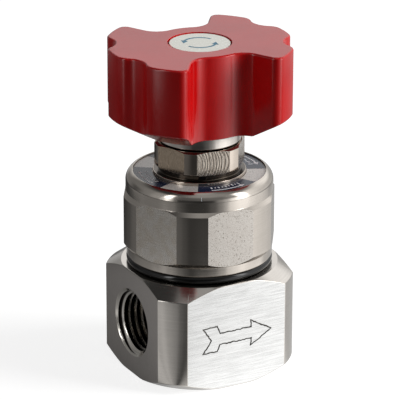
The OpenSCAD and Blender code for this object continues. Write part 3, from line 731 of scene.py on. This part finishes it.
def plate(name, outline, low, high, mat, body, slot):
    """A thin flat piece from outline points, with straight sides."""
    out, keep = triangles([outline])
    n = len(out)
    verts = [(p.x, p.y, low) for p in out] + [(p.x, p.y, high) for p in out]
    faces = [tuple(reversed(t)) for t in keep] + [tuple(k + n for k in t) for t in keep]
    edges = [e for t in keep for e in zip(t, t[1:] + t[:1])]
    faces += [(a, b, b + n, a + n) for a, b in edges if (b, a) not in edges]
    piece(name, verts, faces, [0] * len(faces), [mat], body, slot, merge=1e-4)


def inside(p, loop):
    """Whether a point lies in a closed outline."""
    hit = False
    for k in range(len(loop)):
        (ax, ay), (bx, by) = loop[k - 1], loop[k]
        if (ay > p.y) != (by > p.y) and p.x < (bx - ax) * (p.y - ay) / (by - ay) + ax:
            hit = not hit
    return hit


def arc(r, start, end, step=3.0):
    n = max(2, int(abs(end - start) / step) + 1)
    return [polar(r, start + (end - start) * k / n) for k in range(n + 1)]


def sector(r_in, r_out, start, end):
    return arc(r_out, start, end, 2.0) + arc(r_in, end, start, 2.0)


def bent_arrow(r, start, end, width, head):
    """An arrow that follows a circle, with its head at the end."""
    way = 1 if end > start else -1
    neck = end - way * math.degrees(head * 1.1 / r)
    tip = [polar(r + head / 2, neck), polar(r, end), polar(r - head / 2, neck)]
    return arc(r + width / 2, start, neck) + tip + arc(r - width / 2, neck, start)


def make_label():
    film_top = LABEL_TOP - 0.02
    lathe("label_film", [(LABEL_IN, DECK_Z, 0, 0), (LABEL_R, DECK_Z, 0, 0), (LABEL_R, film_top, 0.04, 1),
                         (LABEL_IN, film_top, 0.04, 1)], label_silver, "valve_body", "label_print", ["label_ring"])

    def printed(name, outline, mat, low=PRINT_LOW, high=PRINT_HIGH):
        plate(name, outline, LABEL_TOP + low, LABEL_TOP + high, mat, "valve_body", "label_print")

    for k, mid in enumerate(BLUE_MIDS):
        field = sector(LABEL_IN + BLUE_EDGE, LABEL_R - BLUE_EDGE, mid - BLUE_HALF, mid + BLUE_HALF)
        printed("label_blue_%d" % k, field, label_blue, -0.03, 0)
        way = 1 if k % 2 else -1
        arrow = bent_arrow(ARROW_MID_R, mid - 17 * way, mid + 19 * way, 0.34, 1.15)
        printed("label_arrow_%d" % k, arrow, label_white)
        for n in range(-4, 5):
            at, half = mid + TICK_STEP * n, (0.225 if n % 2 else 0.425)
            tick = sector(TICK_MID_R - half, TICK_MID_R + half, at - TICK_HALF, at + TICK_HALF)
            printed("label_tick_%d_%d" % (k, n + 4), tick, label_white)


def make_tick():
    """The small painted index line that runs over the dome's rounded edge."""
    mid, half = 242.85, 0.3
    bow = [polar(DOME_ROUND + PRINT_HIGH, a) for a in range(37, 15, -3)]
    path = [(DOME_R - DOME_ROUND + r, DOME_TOP - DOME_ROUND + z) for r, z in bow]
    verts, faces, n = [], [], len(path)
    for a in (mid - half, mid + half):
        verts += [(*polar(r, a), z) for r, z in path] + [(*polar(r - 0.04, a), z - 0.02) for r, z in path]
    for k in range(n - 1):
        for a, b in ((0, 2 * n), (2 * n, 3 * n), (n, 3 * n), (0, n)):
            faces.append((a + k, a + k + 1, b + k + 1, b + k))
    faces += [(0, 2 * n, 3 * n, n), (n - 1, 2 * n - 1, 4 * n - 1, 3 * n - 1)]
    piece("index_line", verts, faces, [0] * len(faces), [label_white], "valve_body", "label_print", merge=1e-4)


make_seal()
make_nut()
make_label()
make_tick()


# Stem housing and hub

def make_housing():
    angles, walls, flat = hexed(GLAND_HALF, GLAND_R, GLAND_TURN, 12)
    cut = (GLAND_R - GLAND_HALF) * 0.4

    def profile(i, a):
        w = walls[i]
        foot = min(w, GLAND_R - cut)
        brow = GLAND_TOP - cut * (w - GLAND_HALF) / (GLAND_R - GLAND_HALF)
        return fillet([
            (SLEEVE_R, SLEEVE_Z, 0, 0), (SLEEVE_R, DECK_Z, 0, 0), (FOOT_R, DECK_Z, 0.08, 1),
            (FOOT_R, FOOT_TOP, 0.14, 4), (NECK_R, FOOT_TOP, 0.2, 3), (NECK_R, NECK_TOP, 0, 0),
            (foot, NECK_TOP, 0.05, 1), (w, NECK_TOP + max(0.0, w - foot), 0.06, 1), (w, brow, 0.07, 2),
            (GLAND_HALF, GLAND_TOP, 0.08, 2), (STEM_BORE_R, GLAND_TOP, 0.1, 1), (STEM_BORE_R, RING_ROOM_TOP, 0, 0),
            (RING_ROOM_R, RING_ROOM_TOP, 0, 0), (RING_ROOM_R, RING_ROOM_Z, 0, 0), (STEM_BORE_R, RING_ROOM_Z, 0, 0),
            (STEM_BORE_R, BUSH_TOP, 0, 0), (BUSH_R, BUSH_TOP, 0, 0), (BUSH_R, SLEEVE_Z, 0, 0)])

    wall_row = 17                    # the profile's row between the roundings of the wall's lower and upper corner
    # the neck rows take the dark neck steel, which paints the shade under the hexagon
    neck_rows = range(8, 14)         # from the foot's top in to the neck and out under the hexagon

    def tag(i, k):
        return 2 if k in neck_rows else 1 if flat[i] and abs(k - wall_row) <= 1 else 0

    parts = loft(angles, profile, tag)
    piece("gland_housing", *parts, [gland_turned, gland_flat_steel, neck_shade_steel], "valve_body", "gland_steel",
          ["stem_housing"], sharp=14)


def hex_radius(half, angle):
    return half / math.cos(deg(angle % 60 - 30))


def make_hub():
    def profile(i, a):
        boss = hex_radius(HUB_BOSS_HALF, a - KNOB_TURN)
        return fillet([(HUB_BORE_R, HUB_Z, 0.1, 1), (HUB_R - 0.3, HUB_Z, 0.06, 1), (HUB_R, HUB_Z + 0.3, 0.12, 2),
                       (HUB_R, HUB_TOP, 0.1, 2), (boss, HUB_TOP, 0, 0), (boss, WEB_Z, 0, 0),
                       (HUB_BORE_R, WEB_Z, 0, 0)])

    parts = loft(around(144, KNOB_TURN), profile)
    piece("hub_collar", *parts, [hub_steel], "handle", "hub_steel", ["knob_hub"], sharp=25)


make_housing()
make_hub()


# Knob

def knob_outline():
    """Points of the lobed outline with their outward directions, anticlockwise, long axis along X."""
    def tangent_angle(centre_r, far, reach):
        return math.degrees(math.acos((centre_r ** 2 + far ** 2 - reach ** 2) / (2 * centre_r * far)))

    notch_far, reach = NOTCH_FLOOR + NOTCH_R, NOTCH_R + LOBE_ROUND
    near_far, lobe_far = MID_LOBE_R - LOBE_ROUND, KNOB_R - LOBE_ROUND
    near_at = NOTCH_ANGLE - tangent_angle(near_far, notch_far, reach)
    far_at = NOTCH_ANGLE + tangent_angle(lobe_far, notch_far, reach)
    flank_far, waist_far = KNOB_R - FLANK_ROUND, WAIST_R + WAIST_FILLET
    flank_at = LOBE_HALF - math.degrees(math.asin(FLANK_ROUND / flank_far))
    waist_at = LOBE_HALF + math.degrees(math.asin(WAIST_FILLET / waist_far))

    def at(r, a):
        return Vector(polar(r, a))

    def bow(centre, r, start, end, steps, hollow=False, first=1):
        ways = [at(1, start + (end - start) * k / steps) for k in range(first, steps + 1)]
        return [(centre + d * r, -d if hollow else d) for d in ways]

    notch = at(notch_far, NOTCH_ANGLE)
    near, far = at(near_far, near_at), at(lobe_far, far_at)
    to_near = math.degrees(math.atan2(*(notch - near).yx))
    to_far = math.degrees(math.atan2(*(notch - far).yx)) % 360
    if to_far > 180:
        to_far -= 360
    quarter = bow(Vector((0, 0)), MID_LOBE_R, 0, near_at, 6, first=0)
    quarter += bow(near, LOBE_ROUND, near_at, to_near, 12)
    quarter += bow(notch, NOTCH_R, to_near + 180, to_far + 180, 14, True)
    quarter += bow(far, LOBE_ROUND, to_far, far_at, 12)
    quarter += bow(Vector((0, 0)), KNOB_R, far_at, flank_at, 10)
    quarter += bow(at(flank_far, flank_at), FLANK_ROUND, flank_at, LOBE_HALF + 90, 12)
    foot, out = math.sqrt(waist_far ** 2 - WAIST_FILLET ** 2), math.sqrt(flank_far ** 2 - FLANK_ROUND ** 2)
    quarter += [(at(out + (foot - out) * k / 4, LOBE_HALF), at(1, LOBE_HALF + 90)) for k in (1, 2, 3)]
    quarter += bow(at(waist_far, waist_at), WAIST_FILLET, LOBE_HALF + 270, waist_at + 180, 18, True, first=0)
    quarter += bow(Vector((0, 0)), WAIST_R, waist_at, 90, 8)
    half = quarter + [(Vector((-p.x, p.y)), Vector((-d.x, d.y))) for p, d in reversed(quarter[:-1])]
    return half + [(Vector((p.x, -p.y)), Vector((d.x, -d.y))) for p, d in reversed(half[1:-1])]


def under_z(p):
    return HUB_TOP + max(0.0, p.length - UNDER_R) * RIM_RISE / (KNOB_R - UNDER_R)


def make_knob():
    top_round, low_round = 0.45, 0.25
    outline = knob_outline()
    n, spin = len(outline), around(96)
    verts, faces = [], []

    def skin(points, m):
        """Rows of m points, joined by four-sided faces."""
        for row in range(len(points) // m - 1):
            base = len(verts) + row * m
            faces.extend((base + k, base + (k + 1) % m, base + m + (k + 1) % m, base + m + k) for k in range(m))
        verts.extend(points)

    def cover(outer, hole, height, chains=()):
        """The region between two outlines, lifted to a height given by place."""
        out, tris = triangles([[v[:2] for v in outer], [v[:2] for v in hole]], chains)
        base = len(verts)
        verts.extend((p.x, p.y, height(p)) for p in out)
        faces.extend(tuple(base + k for k in t) for t in tris)

    wall = []
    for k in range(5):                           # lower edge, from the underside out to the wall
        t = k / 4
        first, middle, last = (1 - t) ** 2, 2 * t * (1 - t), t * t
        for p, d in outline:
            a = p - d * low_round
            q = a * first + p * (middle + last)
            wall.append((q.x, q.y, under_z(a) * first + under_z(p) * middle + (under_z(p) + low_round) * last))
    for k in range(8):                           # upper edge, from the wall in to the top
        t = deg(90 * k / 7)
        for p, d in outline:
            q = p - d * top_round * (1 - math.cos(t))
            wall.append((q.x, q.y, KNOB_TOP - top_round * (1 - math.sin(t))))
    skin(wall, n)
    # the bore, where radius 0 stands for the hexagon that takes the hub's boss
    bore = fillet([(0, HUB_TOP, 0, 0), (0, WEB_Z, 0, 0), (SCREW_R, WEB_Z, 0, 0), (SCREW_R, WELL_Z, 0, 0),
                   (WELL_R, WELL_Z, 0, 0), (WELL_R, DISC_Z, 0, 0), (GROOVE_R, DISC_Z, 0, 0),
                   (GROOVE_R, KNOB_TOP, 0.12, 3), (GROOVE_R + 3, KNOB_TOP, 0, 0)], closed=False)[:-1]
    inner = [(*polar(r or hex_radius(BOSS_HALF, a), a), z) for r, z in bore for a in spin]
    skin(inner, len(spin))
    cover(wall[-n:], inner[-len(spin):], lambda p: KNOB_TOP)
    # the underside, with rings of points inside it for its rise
    low = [Vector(v[:2]) for v in wall[:n]]
    rings = []
    for r in (UNDER_R, 14.5, 16.0, 17.3):
        chain = []
        for k in range(181):
            p = Vector(polar(r, 2 * k))
            if inside(p, low) and min((p - q).length for q in low) > 0.35:
                chain.append(p)
            else:
                rings.append(chain)
                chain = []
        rings.append(chain)
    cover(wall[:n], inner[:len(spin)], under_z, [c for c in rings if len(c) > 1])
    turn = Matrix.Rotation(deg(KNOB_TURN), 3, "Z")
    verts = [tuple(turn @ Vector(v)) for v in verts]
    piece("lobed_knob", verts, faces, [0] * len(faces), [red_plastic], "handle", "red_plastic", ["knob"],
          sharp=28, merge=1e-3)


def make_disc():
    lathe("top_disc", [(DISC_HOLE_R, DISC_Z, 0, 0), (DISC_R, DISC_Z, 0.1, 1), (DISC_R, DISC_TOP, 0.16, 4),
                       (DISC_HOLE_R, DISC_TOP, 0, 0)],
          disc_plastic, "handle", "disc_plastic", ["knob_disc"], capped=True)
    for k in range(2):
        plate("turn_arrow_%d" % k, bent_arrow(3.3, 20 + 180 * k, 160 + 180 * k, 0.5, 1.5),
              DISC_TOP + PRINT_LOW, DISC_TOP + PRINT_HIGH, disc_print, "handle", "disc_plastic")


make_knob()
make_disc()


# Finishes of the CAD nodes that stay

FINISH = {"bronze": bronze, "black_rubber": black_rubber, "seat_plastic": seat_plastic, "screw_steel": screw_steel,
          "body_steel": body_steel, "nut_steel": nut_steel, "gland_steel": gland_turned, "hub_steel": hub_steel,
          "label_print": label_silver, "red_plastic": red_plastic, "disc_plastic": disc_plastic}
slots = {s["node"]: s["material_slot"] for s in frame["record"]["subparts"]}
for name, node in frame["nodes"].items():
    for place in node.material_slots:
        place.material = FINISH.get(slots.get(name), inner_steel)


# Studio: floor, surroundings and lamps

def grey(v):
    return (v, v, v, 1)


def studio_tone(n, x, y, stops):
    """Brightness of the surroundings by compass angle, in degrees from +X towards +Y."""
    turn = n.math("MULTIPLY_ADD", n.math("ARCTAN2", y, x), 0.5 / math.pi, 0.5)
    ramp = n.fill(n.node("ShaderNodeValToRGB"), turn)
    ramp.color_ramp.interpolation = "EASE"
    stops = sorted(((a / 360 + 0.5) % 1.0, v) for a, v in stops)
    items = ramp.color_ramp.elements
    while len(items) > 1:
        items.remove(items[-1])
    items[0].position, items[0].color = stops[0][0], grey(stops[0][1])
    for at, v in stops[1:]:
        items.new(at).color = grey(v)
    return ramp.outputs[0]


# What the metal and the gloss mirror. The floor's tones go by compass angle in rings about the valve. Each ring is
# (start, end, tones) and takes over from the last one between the two radii.
NEAR_TONES = [
    (-179, 0.5), (-170, 0.62), (-160, 0.43), (-147, 0.32), (-138, 0.15), (-128, 0.08), (-100, 0.5), (-61, 0.95),
    (-35, 1.22), (-4, 1.38), (8, 0.6), (49, 0.48), (80, 0.3), (90, 0.13), (105, 0.17), (119, 0.25), (145, 0.35),
    (160, 0.65), (172, 0.65)]
NUT_TONES = [
    (-179, 0.27), (-170, 0.38), (-161, 0.27), (-154, 0.22), (-147, 0.14), (-139, 0.09), (-131, 0.055), (-112, 0.07),
    (-98, 0.12), (-84, 0.42), (-75, 0.95), (-66, 1.12), (-53, 1.4), (-40, 1.15), (-28, 1.0), (-13, 0.9), (2, 0.78),
    (12, 0.55), (40, 0.5), (61, 0.55), (75, 0.3), (88, 0.04), (105, 0.05), (120, 0.08), (135, 0.14), (146, 0.2),
    (158, 0.2), (170, 0.22)]
STEM_TONES = [
    (-179, 0.23), (-170, 0.27), (-157, 0.24), (-150, 0.12), (-143, 0.07), (-135, 0.04), (-112, 0.04), (-97, 0.13),
    (-87, 0.3), (-80, 0.55), (-71, 1.2), (-59, 1.55), (-45, 1.6), (-35, 1.3), (-22, 1.1), (-13, 1.05), (-4, 0.88),
    (5, 0.62), (16, 0.4), (30, 0.4), (61, 0.35), (85, 0.05), (100, 0.04), (115, 0.13), (126, 0.22), (149, 0.24),
    (165, 0.22)]
HUB_TONES = [
    (-179, 0.27), (-150, 0.12), (-135, 0.04), (-112, 0.04), (-97, 0.13), (-87, 0.3), (-80, 0.55), (-71, 1.2),
    (-59, 1.55), (-45, 1.7), (-32, 1.5), (-22, 1.2), (-12, 1.06), (0, 0.8), (12, 0.35), (25, 0.5), (39, 0.7),
    (61, 0.5), (85, 0.05), (100, 0.04), (115, 0.13), (126, 0.25), (142, 0.34), (165, 0.26)]
KNOB_TONES = [
    (-179, 0.09), (-160, 0.12), (-150, 0.1), (-120, 0.06), (-105, 0.1), (-92, 0.16), (-84, 0.26), (-76, 0.5),
    (-68, 0.6), (-57, 1.0), (-45, 0.85), (-36, 0.4), (-27, 0.3), (5, 0.32), (22, 0.36), (40, 0.18), (61, 0.08),
    (100, 0.05), (150, 0.06)]
LOW_TONES = [
    (-176, 0.75), (-168, 2.0), (-162, 0.8), (-157, 0.2), (-148, 0.05), (-115, 0.03), (-100, 0.06), (-86, 0.35),
    (-77, 0.65), (-66, 1.5), (-58, 2.3), (-50, 3.2), (-42, 2.0), (-33, 1.15), (-12, 0.85), (0, 0.8), (14, 0.65),
    (41, 0.5), (61, 0.6), (75, 0.5), (90, 0.22), (106, 0.2), (127, 0.1), (156, 0.27), (170, 0.4)]
RINGS = [(64, 80, NUT_TONES), (108, 122, STEM_TONES), (129, 134, HUB_TONES), (150, 160, KNOB_TONES),
         (195, 235, LOW_TONES)]
# The surroundings above the floor, in layers that take over in the same way, by the sine of their height
MID_TONES = [
    (-178, 0.3), (-171, 4.0), (-167, 4.0), (-160, 0.2), (-145, 0.12), (-85, 0.2), (-60, 0.45), (-53, 3.0),
    (-43, 6.0), (-37, 1.2), (-12, 0.95), (20, 1.3), (61, 1.13), (80, 0.6), (100, 0.2), (115, 0.2), (156, 0.27),
    (170, 0.38)]
HIGH_TONES = [
    (-179, 0.08), (-116, 0.38), (-60, 0.35), (-35, 0.26), (26, 0.14), (80, 0.06), (128, 0.04), (172, 0.05)]
LAYERS = [(0.15, 0.35, MID_TONES), (0.6, 0.8, HIGH_TONES)]
ZENITH_TONE, ZENITH_START, ZENITH_END = 0.45, 0.965, 0.995
AMBIENT = 0.14                                  # light from all round on what isn't a mirror
FLOOR_HALF, FLOOR_DROP = 3.0, 0.00002           # metres
FLOOR_SEEN, FLOOR_GLOW, FLOOR_BOUNCE = 0.5, 0.8, 0.22
AIM_Z = 0.035                                   # the height that the lamps look at, in metres


def seen_rays(n, path):
    return n.math("MAXIMUM", path["Is Camera Ray"], path["Is Transmission Ray"])


def make_world():
    world = bpy.data.worlds.new("studio")
    bpy.context.scene.world = world
    world.use_nodes = True
    n = Nodes(world.node_tree)
    x, y, z = n.split(n.node("ShaderNodeTexCoord").outputs["Generated"])
    env = studio_tone(n, x, y, LOW_TONES)
    for start, end, tones in LAYERS:
        env = n.mix(n.ramp(z, start, end, kind="LINEAR"), env, studio_tone(n, x, y, tones))
    env = n.mix(n.ramp(z, ZENITH_START, ZENITH_END, kind="LINEAR"), env, grey(ZENITH_TONE))
    path = n.node("ShaderNodeLightPath").outputs
    light = n.mix(path["Is Glossy Ray"], grey(AMBIENT), env)
    back = n.shader("ShaderNodeBackground", n.mix(seen_rays(n, path), light, grey(1)), 1)
    n.join(back, n.node("ShaderNodeOutputWorld").inputs[0])


def make_floor():
    mesh = bpy.data.meshes.new("floor")
    corners = [(x * FLOOR_HALF, y * FLOOR_HALF, 0) for x, y in ((-1, -1), (1, -1), (1, 1), (-1, 1))]
    mesh.from_pydata(corners, [], [(0, 1, 2, 3)])
    floor = bpy.data.objects.new("floor", mesh)
    floor.location.z = -FLOOR_DROP
    bpy.context.scene.collection.objects.link(floor)
    mat = bpy.data.materials.new("floor")
    mat.use_nodes = True
    n = Nodes(mat.node_tree)
    place = n.node("ShaderNodeNewGeometry").outputs["Position"]
    x, y = n.split(place)[:2]
    env = studio_tone(n, n.add(x, BODY_HALF * MM), n.add(y, BODY_HALF * MM), NEAR_TONES)
    reach = n.vector("LENGTH", place)
    for start, end, tones in RINGS:
        env = n.mix(n.ramp(reach, start * MM, end * MM), env, studio_tone(n, x, y, tones))
    path = n.node("ShaderNodeLightPath").outputs
    glow = n.shader("ShaderNodeEmission", n.mix(path["Is Camera Ray"], env, grey(FLOOR_GLOW)))
    seen = n.shader("ShaderNodeAddShader", n.shader("ShaderNodeBsdfDiffuse", grey(FLOOR_SEEN)), glow)
    bounce = n.shader("ShaderNodeBsdfDiffuse", grey(FLOOR_BOUNCE))
    unseen = n.shader("ShaderNodeMixShader", path["Is Glossy Ray"], bounce, glow)
    n.join(n.shader("ShaderNodeMixShader", seen_rays(n, path), unseen, seen),
           n.node("ShaderNodeOutputMaterial").inputs[0])
    mesh.materials.append(mat)


def soft_box(name, compass, height, reach, size, level):
    """A square lamp that looks at the valve, lights a facing white card to this level and isn't mirrored."""
    data = bpy.data.lights.new(name, "AREA")
    data.shape = "SQUARE"
    data.size = size
    data.energy = level * math.pi ** 2 * reach ** 2
    lamp = bpy.data.objects.new(name, data)
    bpy.context.scene.collection.objects.link(lamp)
    way = Vector((*polar(math.cos(deg(height)), compass), math.sin(deg(height))))
    lamp.location = Vector((0, 0, AIM_Z)) + way * reach
    lamp.rotation_euler = way.to_track_quat("Z", "Y").to_euler()
    lamp.visible_glossy = False


make_world()
make_floor()
soft_box("key", compass=-36, height=25, reach=0.9, size=0.5, level=1.1)
soft_box("fill", compass=155, height=15, reach=0.9, size=0.8, level=0.17)

bpy.context.scene.view_settings.view_transform = "Standard"
